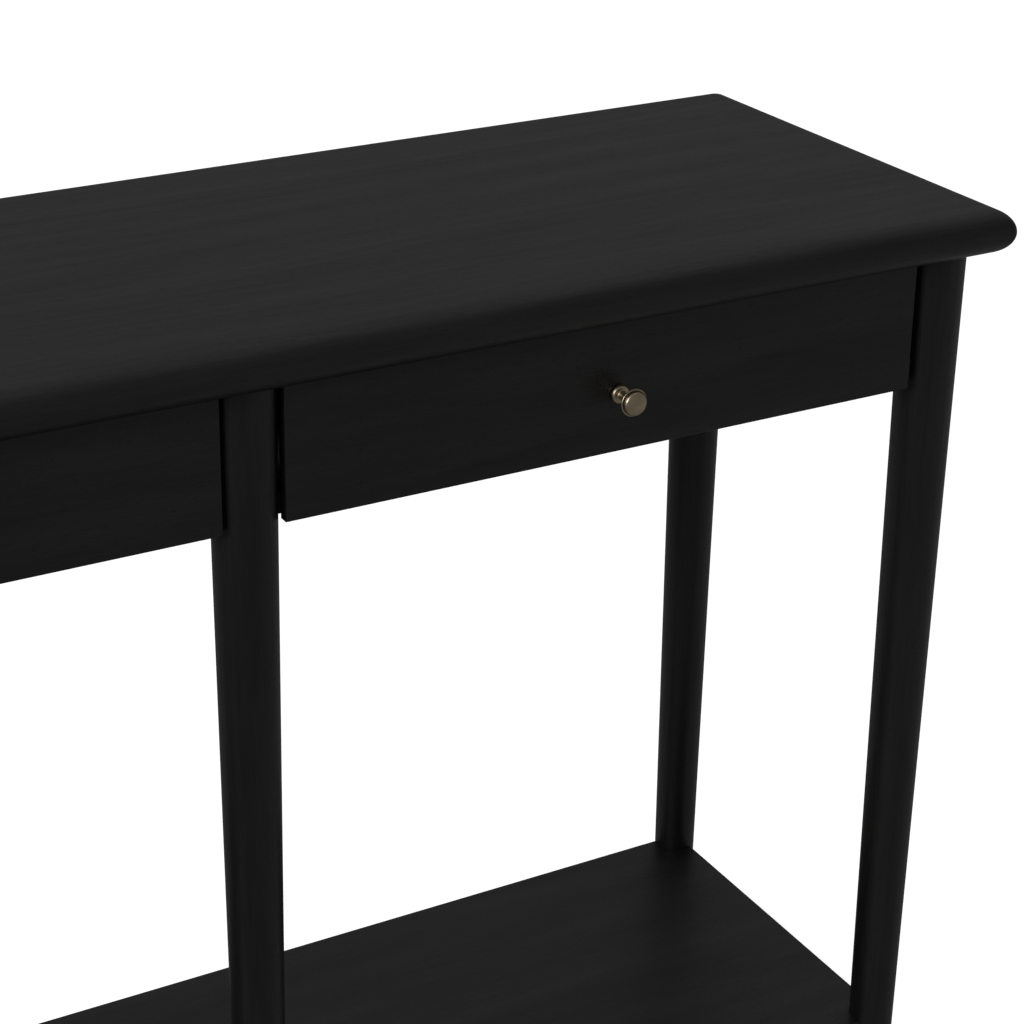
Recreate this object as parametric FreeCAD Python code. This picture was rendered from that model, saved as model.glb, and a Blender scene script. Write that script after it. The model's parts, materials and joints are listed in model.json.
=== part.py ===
"""Console table with two drawers, five round tapered legs and a lower shelf.

Frame: millimetres, +Z up, drawers open towards -Y. The origin lies on the floor, midway between the legs. Every sub-part is written to parts/NODE.step where it stands with both drawers shut.
"""

import FreeCAD, Part
import math
import os

from FreeCAD import Vector

# ---------------------------------------------------------------- driving sizes

TABLE_HEIGHT = 800.0
TOP_LENGTH = 1196.0
TOP_DEPTH = 386.0
TOP_THICKNESS = 33.0
TOP_REAR_EDGE = 190.0  # from the origin; the front edge reaches further
TOP_CORNER_ROUND = 5.0

LEG_TOP_DIAMETER = 46.5
LEG_FOOT_DIAMETER = 34.5
LEG_INSET_X = 39.0  # end of the top to the leg's axis
LEG_INSET_Y = 40.0  # rear edge of the top to the leg's axis
LEG_FOOT_ROUND = 2.5

GLIDE_DIAMETER = 24.0
GLIDE_THICKNESS = 3.0
GLIDE_PIN_DIAMETER = 3.0
GLIDE_PIN_LENGTH = 14.0

APRON_THICKNESS = 18.0
APRON_HEIGHT = 99.5
UPPER_RAIL_DEPTH = 45.0  # laid flat under the top, behind the legs
UPPER_RAIL_THICKNESS = 16.0
LOWER_RAIL_DEPTH = 40.0  # between the legs, under the drawer box
LOWER_RAIL_HEIGHT = 16.0

SHELF_TOP_HEIGHT = 90.0
SHELF_THICKNESS = 20.0
SHELF_REACH = 8.0  # shelf edge beyond the leg axes
SHELF_EDGE_ROUND = 2.5

DRAWER_FRONT_THICKNESS = 9.0
DRAWER_FRONT_ROUND = 0.8
DRAWER_FACE_SETBACK = 28.5  # front edge of the top to the drawer's face
DRAWER_TOP_GAP = 2.0
DRAWER_FRONT_DROP = 3.0  # lower edge of the front below the aprons
DRAWER_INNER_GAP = 0.8  # end of the front to the middle leg's side, measured at the front's back face
DRAWER_OUTER_GAP = 7.6  # the same at an outer leg
DRAWER_SHUT_GAP = 0.3  # back of the front to the lower rail

BOX_DEPTH = 270.0
BOX_WALL = 12.0
BOX_RAIL_GAP = 2.0  # underside of the box above the lower rail
BOX_TOP_GAP = 3.0  # upper edge of the box below the upper rail
BOX_PANEL_THICKNESS = 5.0
BOX_PANEL_LIFT = 8.0
BOX_GROOVE_DEPTH = 5.0

SLIDE_HEIGHT = 27.0
SLIDE_THICKNESS = 10.0
SLIDE_METAL = 1.2
SLIDE_FLANGE = 7.2  # reach of the fixed channel's flanges
SLIDE_LIP = 1.1  # turned-in edge that keeps the balls in
SLIDE_LEG_GAP = 1.35  # moving channel to the leg's widest line
SLIDE_BEHIND_LEG = 1.0
SLIDE_REAR_GAP = 2.5  # rear end of a slide before the rear leg
SLIDE_CENTRE_DROP = 2.0  # slide's middle below the middle of the box
PACKER_HEIGHT = 40.0

BALL_DIAMETER = 3.4
BALL_COUNT = 5  # in each of a cage's two rows
BALL_PITCH = 14.0
BALL_RUNNING_GAP = 0.2
CAGE_METAL = 0.8
CAGE_LENGTH = 68.0
CAGE_WEB_GAP = 0.3  # cage to the fixed channel's web
CAGE_WINDOW_HEIGHT = 10.0
CAGE_BRIDGE = 6.0

KNOB_LIFT = 44.1  # knob axis above the front's lower edge
KNOB_LENGTH = 25.4
KNOB_FOOT_DIAMETER = 13.9
KNOB_FOOT_THICKNESS = 3.8
KNOB_NECK_DIAMETER = 6.4
KNOB_NECK_START = 6.1  # from the drawer's face to where the neck is slim
KNOB_NECK_HOLLOW = 0.5
KNOB_FLARE_LENGTH = 4.7  # from the slim neck to the back of the rim
KNOB_FLARE_HOLLOW = 1.3
KNOB_RIM_DIAMETER = 20.4
KNOB_RIM_THICKNESS = 1.3
KNOB_GROOVE_DIAMETER = 16.6
KNOB_GROOVE_WIDTH = 0.9
KNOB_CAP_DIAMETER = 18.1
KNOB_CAP_THICKNESS = 3.9
KNOB_CAP_ROUND = 2.4
KNOB_CROWN_HEIGHT = 0.7
KNOB_THREAD_DEPTH = 9.0
KNOB_BOLT_DIAMETER = 4.0

DOWEL_DIAMETER = 10.0
DOWEL_LENGTH = 36.0
DOWEL_START = 6.5  # inner end of a leg dowel from the leg's axis
DOWEL_EDGE_DISTANCE = 23.5  # leg dowel from the apron's upper or lower edge
DIVIDER_DOWEL_DEPTH = 12.0  # how far the divider's dowels enter the rear apron
RAIL_DOWEL_DIAMETER = 8.0
RAIL_DOWEL_LENGTH = 30.0
RAIL_DOWEL_DEPTH = 8.0  # how far a rail's dowels enter the apron or divider
RAIL_DOWEL_SPREAD = 24.0
LOWER_RAIL_DOWEL_START = 7.0  # inner end of a lower rail's dowel from the leg's axis
LOWER_RAIL_DOWEL_LENGTH = 34.0
BOX_DOWEL_DIAMETER = 6.0
BOX_DOWEL_LENGTH = 30.0
BOX_DOWEL_DEPTH = 8.0
BOX_DOWEL_LIFT = 22.0  # lower dowel above the underside of the box
BOX_DOWEL_DROP = 12.0  # upper dowel below the box's upper edge
DOWEL_END_GAP = 0.5

BRACKET_SIZE = 20.0
BRACKET_METAL = 2.0
BRACKET_HOLE_OFFSET = 12.0  # screw hole from the bracket's corner
BRACKET_REAR_OFFSET = 150.0  # rear brackets each side of a bay's middle
BRACKET_SIDE_Y = 50.0
SCREW_DIAMETER = 4.0
SCREW_HEAD_DIAMETER = 7.6
SCREW_HEAD_HEIGHT = 2.4
BRACKET_SCREW_LENGTH = 14.0
RAIL_SCREW_LENGTH = 36.0
RAIL_SCREW_INSET = 120.0
SLIDE_SCREW_DIAMETER = 3.5
SLIDE_SCREW_HEAD_DIAMETER = 6.5
SLIDE_SCREW_LENGTH = 11.0
SLIDE_SCREW_INSET = 34.0
FRONT_SCREW_LENGTH = 18.0
FRONT_SCREW_INSET = 70.0
FRONT_SCREW_LIFT = 32.0

SHELF_BOLT_DIAMETER = 6.0
SHELF_BOLT_START = 4.0  # inner end of a shelf bolt from the leg's axis
SHELF_BOLT_WALL = 24.0  # wood between the leg and the nut's pocket
SHELF_POCKET_LENGTH = 20.0
SHELF_POCKET_WIDTH = 24.0
SHELF_POCKET_ROOF = 5.0
SHELF_WASHER_SIZE = 13.0
SHELF_WASHER_THICKNESS = 2.0
SHELF_NUT_ACROSS_FLATS = 10.0
SHELF_NUT_THICKNESS = 5.0
SHELF_BOLT_TAIL = 3.0

FIT = 0.05  # round pins in their holes
SEAT = 0.15  # coped ends and notches round the legs
PANEL_FIT = 0.2

# ---------------------------------------------------------------- places worked out from them

UNDERSIDE = TABLE_HEIGHT - TOP_THICKNESS
LEG_X = TOP_LENGTH / 2 - LEG_INSET_X
TOP_FRONT_EDGE = TOP_REAR_EDGE - TOP_DEPTH
LEG_Y = TOP_REAR_EDGE - LEG_INSET_Y
LEG_TOP_RADIUS = LEG_TOP_DIAMETER / 2
LEG_FOOT_RADIUS = LEG_FOOT_DIAMETER / 2
HALF_APRON = APRON_THICKNESS / 2
APRON_BOTTOM = UNDERSIDE - APRON_HEIGHT
DOWEL_HEIGHTS = (APRON_BOTTOM + DOWEL_EDGE_DISTANCE, UNDERSIDE - DOWEL_EDGE_DISTANCE)
REAR_FACE = LEG_Y - HALF_APRON  # the rear apron's inner face

FRONT_FACE = TOP_FRONT_EDGE + DRAWER_FACE_SETBACK
FRONT_BACK = FRONT_FACE + DRAWER_FRONT_THICKNESS
FRONT_TOP = UNDERSIDE - DRAWER_TOP_GAP
FRONT_BOTTOM = APRON_BOTTOM - DRAWER_FRONT_DROP
LEG_AT_FRONT = math.sqrt(LEG_TOP_RADIUS ** 2 - (FRONT_BACK + LEG_Y) ** 2)  # leg's half-width there
FRONT_INNER_END = -LEG_X / 2 + LEG_AT_FRONT + DRAWER_INNER_GAP  # from the bay's middle
FRONT_OUTER_END = LEG_X / 2 - LEG_AT_FRONT - DRAWER_OUTER_GAP
FRONT_MIDDLE = (FRONT_INNER_END + FRONT_OUTER_END) / 2

BALL_RADIUS = BALL_DIAMETER / 2
RACE_HEIGHT = SLIDE_HEIGHT / 2 - SLIDE_METAL  # inner face of the fixed flanges from the slide's middle
BALL_ROW = RACE_HEIGHT - BALL_RUNNING_GAP - BALL_RADIUS
MOVING_HALF_HEIGHT = BALL_ROW - BALL_RADIUS - BALL_RUNNING_GAP
CAGE_WEB = SLIDE_METAL + CAGE_WEB_GAP
MOVING_TIP = CAGE_WEB + CAGE_METAL + CAGE_WEB_GAP
BALL_PLACE = SLIDE_FLANGE - SLIDE_METAL - BALL_RUNNING_GAP - BALL_RADIUS

HALF_BOX = LEG_X / 2 - LEG_TOP_RADIUS - SLIDE_LEG_GAP - (SLIDE_THICKNESS - MOVING_TIP)
LOWER_RAIL_TOP = APRON_BOTTOM + LOWER_RAIL_HEIGHT
LOWER_RAIL_FRONT = FRONT_BACK + DRAWER_SHUT_GAP
BOX_BOTTOM = LOWER_RAIL_TOP + BOX_RAIL_GAP
BOX_TOP = UNDERSIDE - UPPER_RAIL_THICKNESS - BOX_TOP_GAP
BOX_REAR = FRONT_BACK + BOX_DEPTH
BOX_FRONT_INNER = FRONT_BACK + BOX_WALL
SLIDE_Z = (BOX_BOTTOM + BOX_TOP) / 2 - SLIDE_CENTRE_DROP
SLIDE_FRONT = -LEG_Y + LEG_TOP_RADIUS + SLIDE_BEHIND_LEG
SLIDE_REAR = LEG_Y - LEG_TOP_RADIUS - SLIDE_REAR_GAP
SLIDE_MIDDLE = (SLIDE_FRONT + SLIDE_REAR) / 2
UPPER_RAIL_FRONT = SLIDE_FRONT
UPPER_RAIL_MIDDLE = UPPER_RAIL_FRONT + UPPER_RAIL_DEPTH / 2
SHELF_BOTTOM = SHELF_TOP_HEIGHT - SHELF_THICKNESS

BAYS = {"left": -LEG_X / 2, "right": LEG_X / 2}
LEGS = {
    "front_left_leg": (-LEG_X, -LEG_Y),
    "front_middle_leg": (0.0, -LEG_Y),
    "front_right_leg": (LEG_X, -LEG_Y),
    "rear_left_leg": (-LEG_X, LEG_Y),
    "rear_right_leg": (LEG_X, LEG_Y),
}

# ---------------------------------------------------------------- shapes used again and again


def block(x0, x1, y0, y1, z0, z1):
    """A box between two corners."""
    return Part.makeBox(x1 - x0, y1 - y0, z1 - z0, Vector(x0, y0, z0))


def rod(diameter, length, start, direction):
    """A round bar from a point, along a direction."""
    return Part.makeCylinder(diameter / 2, length, Vector(*start), Vector(*direction))


def cut_all(shape, cutters):
    """The shape with every cutter taken out of it."""
    return shape.cut(list(cutters)) if cutters else shape


def group(solids):
    """Several separate solids kept together as one node."""
    return Part.makeCompound(list(solids))


def round_edges(shape, radius, chosen):
    """The shape with a round on each edge that chosen() picks."""
    edges = [e for e in shape.Edges if chosen(e)]
    return shape.makeFillet(radius, edges)


def along(start, direction, distance):
    """The point at a distance from start, in a unit direction."""
    return tuple(s + d * distance for s, d in zip(start, direction))


def dowel_hole(diameter, length, start, direction):
    """The hole for a dowel: a little wider, and a little longer at both ends."""
    begin = along(start, direction, -DOWEL_END_GAP)
    return rod(diameter + 2 * FIT, length + 2 * DOWEL_END_GAP, begin, direction)


def sunk_screw(head, shank, length, at, direction, grow=0.0):
    """A countersunk screw whose head is flush at the point, pointing into the wood. With grow, its hole."""
    sink = (head - shank) / 2
    cone = Part.makeCone(head / 2 + grow, shank / 2 + grow, sink, Vector(*at), Vector(*direction))
    bar = rod(shank + 2 * grow, length + grow - sink, along(at, direction, sink), direction)
    return cone.fuse(bar).removeSplitter()


def headed_screw(head, head_height, shank, length, at, direction):
    """A screw with a domed head standing on the surface at the point."""
    back = tuple(-d for d in direction)
    bar = rod(shank, length, at, direction)
    cap = rod(head, head_height, at, back)
    crown = [e for e in cap.Edges if (e.CenterOfMass - Vector(*at)).Length > head_height / 2
             and e.Curve.TypeId == "Part::GeomCircle"]
    cap = cap.makeFillet(head_height / 2, crown)
    return cap.fuse(bar).removeSplitter()


# ---------------------------------------------------------------- top, legs and glides


def leg_radius(z):
    """Radius of a leg's even taper at a height."""
    share = (z - GLIDE_THICKNESS) / (UNDERSIDE - GLIDE_THICKNESS)
    return LEG_FOOT_RADIUS + (LEG_TOP_RADIUS - LEG_FOOT_RADIUS) * share


def leg_taper(place, z0, z1, grow=0.0):
    """The part of a leg's taper between two heights. With grow, what fits round the leg."""
    base = Vector(place[0], place[1], z0)
    return Part.makeCone(leg_radius(z0) + grow, leg_radius(z1) + grow, z1 - z0, base)


def make_top():
    """A board with a full half-round on all four edges, mitred at the corners and softened there."""

    def stadium(low_edge, high_edge, run, to_plane):
        r = TOP_THICKNESS / 2
        low, high = UNDERSIDE, TABLE_HEIGHT
        middle = UNDERSIDE + r
        a, b = low_edge + r, high_edge - r
        p = [to_plane(a, low), to_plane(b, low), to_plane(b + r, middle)]
        q = [to_plane(b, high), to_plane(a, high), to_plane(a - r, middle)]
        wire = Part.Wire([
            Part.LineSegment(p[0], p[1]).toShape(),
            Part.Arc(p[1], p[2], q[0]).toShape(),
            Part.LineSegment(q[0], q[1]).toShape(),
            Part.Arc(q[1], q[2], p[0]).toShape(),
        ])
        return Part.Face(wire).extrude(run)

    half = TOP_LENGTH / 2
    lengthways = stadium(-half, half, Vector(0, TOP_DEPTH, 0), lambda u, z: Vector(u, TOP_FRONT_EDGE, z))
    crossways = stadium(TOP_FRONT_EDGE, TOP_REAR_EDGE, Vector(TOP_LENGTH, 0, 0), lambda u, z: Vector(-half, u, z))
    outline = block(-half, half, TOP_FRONT_EDGE, TOP_REAR_EDGE, UNDERSIDE, TABLE_HEIGHT)
    outline = round_edges(outline, TOP_CORNER_ROUND, lambda e: e.BoundBox.ZLength > TOP_THICKNESS - 0.01)
    return lengthways.common(crossways).common(outline)


def make_leg(place, cutters):
    leg = leg_taper(place, GLIDE_THICKNESS, UNDERSIDE)
    leg = round_edges(leg, LEG_FOOT_ROUND, lambda e: e.BoundBox.ZMax < GLIDE_THICKNESS + 0.01)
    return cut_all(leg, cutters)


def glide_pin(place, grow=0.0):
    start = (place[0], place[1], GLIDE_THICKNESS / 2)
    return rod(GLIDE_PIN_DIAMETER + 2 * grow, GLIDE_PIN_LENGTH + grow, start, (0, 0, 1))


def make_glide(place):
    disc = rod(GLIDE_DIAMETER, GLIDE_THICKNESS, (place[0], place[1], 0), (0, 0, 1))
    disc = round_edges(disc, GLIDE_THICKNESS / 3, lambda e: e.BoundBox.ZMax < 0.01)
    return disc.fuse(glide_pin(place)).removeSplitter()


# ---------------------------------------------------------------- frame under the top


def leg_joint(place, direction):
    """Start points and direction of the two dowels that join an apron to a leg."""
    return [(along((place[0], place[1], z), direction, DOWEL_START), direction, DOWEL_LENGTH, DOWEL_DIAMETER)
            for z in DOWEL_HEIGHTS]


def rail_joint(x, towards):
    """The two dowels at an upper rail's end, which stands on the face at x and runs towards +X or -X."""
    direction = (towards, 0, 0)
    middle = UNDERSIDE - UPPER_RAIL_THICKNESS / 2
    offsets = (-RAIL_DOWEL_SPREAD / 2, RAIL_DOWEL_SPREAD / 2)
    return [(along((x, UPPER_RAIL_MIDDLE + dy, middle), direction, -RAIL_DOWEL_DEPTH), direction,
             RAIL_DOWEL_LENGTH, RAIL_DOWEL_DIAMETER) for dy in offsets]


def lower_rail_joint(place, towards):
    """The dowel between a leg and the end of a lower rail."""
    middle = (place[0], place[1], APRON_BOTTOM + LOWER_RAIL_HEIGHT / 2)
    direction = (towards, 0, 0)
    start = along(middle, direction, LOWER_RAIL_DOWEL_START)
    return [(start, direction, LOWER_RAIL_DOWEL_LENGTH, RAIL_DOWEL_DIAMETER)]


def divider_rear_joint():
    """The two dowels between the divider and the rear apron."""
    start = REAR_FACE + DIVIDER_DOWEL_DEPTH - DOWEL_LENGTH
    return [((0, start, z), (0, 1, 0), DOWEL_LENGTH, DOWEL_DIAMETER) for z in DOWEL_HEIGHTS]


def dowel_table():
    """Every frame dowel, under the names of the two pieces that it joins."""
    fl, fm, fr = LEGS["front_left_leg"], LEGS["front_middle_leg"], LEGS["front_right_leg"]
    rl, rr = LEGS["rear_left_leg"], LEGS["rear_right_leg"]
    table = [
        ("front_left_leg", "left_apron", leg_joint(fl, (0, 1, 0))),
        ("rear_left_leg", "left_apron", leg_joint(rl, (0, -1, 0))),
        ("front_right_leg", "right_apron", leg_joint(fr, (0, 1, 0))),
        ("rear_right_leg", "right_apron", leg_joint(rr, (0, -1, 0))),
        ("rear_left_leg", "rear_apron", leg_joint(rl, (1, 0, 0))),
        ("rear_right_leg", "rear_apron", leg_joint(rr, (-1, 0, 0))),
        ("front_middle_leg", "centre_divider", leg_joint(fm, (0, 1, 0))),
        ("rear_apron", "centre_divider", divider_rear_joint()),
        ("left_apron", "left_upper_rail", rail_joint(-LEG_X + HALF_APRON, 1)),
        ("centre_divider", "left_upper_rail", rail_joint(-HALF_APRON, -1)),
        ("centre_divider", "right_upper_rail", rail_joint(HALF_APRON, 1)),
        ("right_apron", "right_upper_rail", rail_joint(LEG_X - HALF_APRON, -1)),
        ("front_left_leg", "left_lower_rail", lower_rail_joint(fl, 1)),
        ("front_middle_leg", "left_lower_rail", lower_rail_joint(fm, -1)),
        ("front_middle_leg", "right_lower_rail", lower_rail_joint(fm, 1)),
        ("front_right_leg", "right_lower_rail", lower_rail_joint(fr, -1)),
    ]
    return table


def frame_boards():
    """The aprons, the divider and the rails as plain boards."""
    z0, z1 = APRON_BOTTOM, UNDERSIDE
    upper_back = UPPER_RAIL_FRONT + UPPER_RAIL_DEPTH
    upper = (UPPER_RAIL_FRONT, upper_back, UNDERSIDE - UPPER_RAIL_THICKNESS, UNDERSIDE)
    lower = (LOWER_RAIL_FRONT, LOWER_RAIL_FRONT + LOWER_RAIL_DEPTH, APRON_BOTTOM, LOWER_RAIL_TOP)
    crossing = {
        "left_apron": block(-LEG_X - HALF_APRON, -LEG_X + HALF_APRON, -LEG_Y, LEG_Y, z0, z1),
        "right_apron": block(LEG_X - HALF_APRON, LEG_X + HALF_APRON, -LEG_Y, LEG_Y, z0, z1),
        "centre_divider": block(-HALF_APRON, HALF_APRON, -LEG_Y, REAR_FACE, z0, z1),
    }
    return {
        **crossing,
        "rear_apron": block(-LEG_X, LEG_X, LEG_Y - HALF_APRON, LEG_Y + HALF_APRON, z0, z1),
        "left_upper_rail": block(-LEG_X + HALF_APRON, -HALF_APRON, *upper),
        "right_upper_rail": block(HALF_APRON, LEG_X - HALF_APRON, *upper),
        "left_lower_rail": cut_all(block(-LEG_X, 0, *lower), crossing.values()),
        "right_lower_rail": cut_all(block(0, LEG_X, *lower), crossing.values()),
    }


def bracket_places():
    """Each top bracket's corner under the top, the normal of the inner face that it stands on, its board."""
    places = []
    for middle in BAYS.values():
        for dx in (-BRACKET_REAR_OFFSET, BRACKET_REAR_OFFSET):
            places.append(((middle + dx, REAR_FACE, UNDERSIDE), (0, -1, 0), "rear_apron"))
    places.append(((-LEG_X + HALF_APRON, BRACKET_SIDE_Y, UNDERSIDE), (1, 0, 0), "left_apron"))
    places.append(((LEG_X - HALF_APRON, BRACKET_SIDE_Y, UNDERSIDE), (-1, 0, 0), "right_apron"))
    return places


def make_bracket(point, normal):
    """A bent steel angle: one flange under the top, one on the apron, each with a screw hole."""
    p = Vector(*point)
    n = Vector(*normal)
    side = Vector(-n.y, n.x, 0)
    corners = [p - side * (BRACKET_SIZE / 2), p + side * (BRACKET_SIZE / 2)]

    def flange(out, down):
        far = corners[1] + n * out - Vector(0, 0, down)
        lows = [min(a, b) for a, b in zip(corners[0], far)]
        highs = [max(a, b) for a, b in zip(corners[0], far)]
        return block(lows[0], highs[0], lows[1], highs[1], lows[2], highs[2])

    angle = flange(BRACKET_SIZE, BRACKET_METAL).fuse(flange(BRACKET_METAL, BRACKET_SIZE)).removeSplitter()
    holes = [dowel_hole(SCREW_DIAMETER, BRACKET_METAL, at, towards)
             for at, towards in bracket_screw_places(point, normal)]
    return cut_all(angle, holes)


def bracket_screw_places(point, normal):
    """Head points and directions of a bracket's two screws: into the top, and into the apron."""
    under_top = along(point, normal, BRACKET_HOLE_OFFSET)
    upward = (under_top[0], under_top[1], point[2] - BRACKET_METAL)
    on_apron = along(point, normal, BRACKET_METAL)
    inward = (on_apron[0], on_apron[1], point[2] - BRACKET_HOLE_OFFSET)
    return [(upward, (0, 0, 1)), (inward, tuple(-c for c in normal))]


def rail_screw_places():
    """Under the upper rails, two screws each, up into the top."""
    half = (LEG_X - APRON_THICKNESS) / 2 - RAIL_SCREW_INSET
    return [((middle + dx, UPPER_RAIL_MIDDLE, UNDERSIDE - UPPER_RAIL_THICKNESS), (0, 0, 1))
            for middle in BAYS.values() for dx in (-half, half)]


# ---------------------------------------------------------------- lower shelf


def shelf_bolt_directions():
    """Each leg's bolt runs inwards: across the corner, or straight back at the middle leg."""
    found = {}
    for name, (x, y) in LEGS.items():
        inward = Vector(-x / LEG_X, -y / LEG_Y, 0)
        inward.normalize()
        found[name] = tuple(inward)
    return found


def shelf_joint(name):
    """A shelf bolt, its nut and washer, the leg's hole, and what is cut from the shelf."""
    x, y = LEGS[name]
    direction = shelf_bolt_directions()[name]
    z = SHELF_BOTTOM + (SHELF_THICKNESS - SHELF_POCKET_ROOF) / 2
    axis = (x, y, z)
    wall = leg_radius(z) + SHELF_BOLT_WALL
    nut_start = wall + SHELF_WASHER_THICKNESS
    bolt_end = nut_start + SHELF_NUT_THICKNESS + SHELF_BOLT_TAIL
    length = bolt_end - SHELF_BOLT_START
    bolt = rod(SHELF_BOLT_DIAMETER, length, along(axis, direction, SHELF_BOLT_START), direction)
    hole = dowel_hole(SHELF_BOLT_DIAMETER, length, along(axis, direction, SHELF_BOLT_START), direction)

    turn = math.degrees(math.atan2(direction[1], direction[0]))

    def placed(shape):
        shape.rotate(Vector(0, 0, 0), Vector(0, 0, 1), turn)
        shape.translate(Vector(x, y, 0))
        return shape

    half_pocket = SHELF_POCKET_WIDTH / 2
    half_washer = SHELF_WASHER_SIZE / 2
    pocket_top = SHELF_TOP_HEIGHT - SHELF_POCKET_ROOF
    pocket = placed(block(wall, wall + SHELF_POCKET_LENGTH, -half_pocket, half_pocket,
                          SHELF_BOTTOM - 1, pocket_top))
    washer = placed(block(wall, nut_start, -half_washer, half_washer, z - half_washer, z + half_washer))
    nut = placed(hex_prism(SHELF_NUT_ACROSS_FLATS, SHELF_NUT_THICKNESS, nut_start, z))
    return {"bolt": bolt, "hole": hole, "pocket": pocket, "fasteners": [washer.cut(hole), nut.cut(hole)]}


def hex_prism(across_flats, thickness, start, z):
    """A hexagon along +X that starts at x, about a line at height z."""
    radius = across_flats / math.sqrt(3)
    points = [Vector(start, radius * math.cos(math.radians(a)), z + radius * math.sin(math.radians(a)))
              for a in range(0, 361, 60)]
    return Part.Face(Part.makePolygon(points)).extrude(Vector(thickness, 0, 0))


def make_shelf(joints):
    x, y = LEG_X + SHELF_REACH, LEG_Y + SHELF_REACH
    board = block(-x, x, -y, y, SHELF_BOTTOM, SHELF_TOP_HEIGHT)
    board = round_edges(board, SHELF_EDGE_ROUND, lambda e: e.BoundBox.ZLength < 0.01)
    notches = [leg_taper(place, SHELF_BOTTOM - 5, SHELF_TOP_HEIGHT + 5, SEAT) for place in LEGS.values()]
    return cut_all(board, notches + [j["pocket"] for j in joints] + [j["hole"] for j in joints])


# ---------------------------------------------------------------- drawer slides


def slide_bar(rectangles, y0, y1):
    """A bar whose section is the rectangles (out0, out1, z0, z1) and their mirror images about its middle."""
    bars = []
    for out0, out1, z0, z1 in rectangles:
        bars.append(block(out0, out1, y0, y1, SLIDE_Z + z0, SLIDE_Z + z1))
        bars.append(block(out0, out1, y0, y1, SLIDE_Z - z1, SLIDE_Z - z0))
    return bars[0].fuse(bars[1:]).removeSplitter()


def slide_screw_rows():
    """Screw places along a slide, both ends and the middle."""
    return (SLIDE_FRONT + SLIDE_SCREW_INSET, SLIDE_MIDDLE, SLIDE_REAR - SLIDE_SCREW_INSET)


def fixed_channel():
    half = SLIDE_HEIGHT / 2
    bar = slide_bar([
        (0, SLIDE_METAL, 0, half),
        (0, SLIDE_FLANGE, RACE_HEIGHT, half),
        (SLIDE_FLANGE - SLIDE_METAL, SLIDE_FLANGE, RACE_HEIGHT - SLIDE_LIP, half),
    ], SLIDE_FRONT, SLIDE_REAR)
    return bar


def moving_channel():
    metal = SLIDE_METAL
    bar = slide_bar([
        (SLIDE_THICKNESS - metal, SLIDE_THICKNESS, 0, MOVING_HALF_HEIGHT),
        (MOVING_TIP, SLIDE_THICKNESS, MOVING_HALF_HEIGHT - metal, MOVING_HALF_HEIGHT),
    ], SLIDE_FRONT, SLIDE_REAR)
    return bar


def ball_rows():
    """Places of a cage's balls."""
    first = SLIDE_MIDDLE - BALL_PITCH * (BALL_COUNT - 1) / 2
    return [(BALL_PLACE, first + BALL_PITCH * n, SLIDE_Z + side * BALL_ROW)
            for n in range(BALL_COUNT) for side in (-1, 1)]


def ball_cage():
    """The thin U-shaped cage, open in the middle, and its balls."""
    y0, y1 = SLIDE_MIDDLE - CAGE_LENGTH / 2, SLIDE_MIDDLE + CAGE_LENGTH / 2
    half_metal = CAGE_METAL / 2
    flange_tip = SLIDE_FLANGE - SLIDE_METAL
    cage = slide_bar([
        (CAGE_WEB, CAGE_WEB + CAGE_METAL, 0, BALL_ROW + half_metal),
        (CAGE_WEB, flange_tip - BALL_RUNNING_GAP, BALL_ROW - half_metal, BALL_ROW + half_metal),
    ], y0, y1)
    window = block(CAGE_WEB - 1, CAGE_WEB + CAGE_METAL + 1, y0 + CAGE_BRIDGE, y1 - CAGE_BRIDGE,
                   SLIDE_Z - CAGE_WINDOW_HEIGHT / 2, SLIDE_Z + CAGE_WINDOW_HEIGHT / 2)
    holes = [rod(BALL_DIAMETER + 2 * FIT, BALL_DIAMETER, (x, y, z - BALL_RADIUS), (0, 0, 1))
             for x, y, z in ball_rows()]
    cage = cut_all(cage, [window] + holes)
    balls = [Part.makeSphere(BALL_RADIUS, Vector(x, y, z)) for x, y, z in ball_rows()]
    return [cage] + balls


def place_in_box(shape, hand):
    """Moves a slide part from its own axes to one side of a drawer that stands about x = 0."""
    reach = HALF_BOX + SLIDE_THICKNESS
    if hand == "left":
        moved = shape.copy()
        moved.translate(Vector(-reach, 0, 0))
    else:
        moved = shape.mirror(Vector(0, 0, 0), Vector(1, 0, 0))
        moved.translate(Vector(reach, 0, 0))
    return moved


def place_slide(shape, bay, hand):
    """The same, in the left or the right bay."""
    moved = place_in_box(shape, hand)
    moved.translate(Vector(BAYS[bay], 0, 0))
    return moved


def slide_screws(out, grow=0.0):
    """A channel's three screws, heads flush at a distance from the cabinet side. With grow, their holes."""
    towards = (-1, 0, 0) if out < SLIDE_THICKNESS / 2 else (1, 0, 0)
    return [sunk_screw(SLIDE_SCREW_HEAD_DIAMETER, SLIDE_SCREW_DIAMETER, SLIDE_SCREW_LENGTH,
                       (out, y, SLIDE_Z), towards, grow) for y in slide_screw_rows()]


def packer():
    """The wood strip between the cabinet side and a slide."""
    thickness = LEG_X / 2 - HALF_APRON - HALF_BOX - SLIDE_THICKNESS
    half = PACKER_HEIGHT / 2
    return block(-thickness, 0, SLIDE_FRONT, SLIDE_REAR, SLIDE_Z - half, SLIDE_Z + half)


# ---------------------------------------------------------------- drawers, each about its bay's middle


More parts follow.
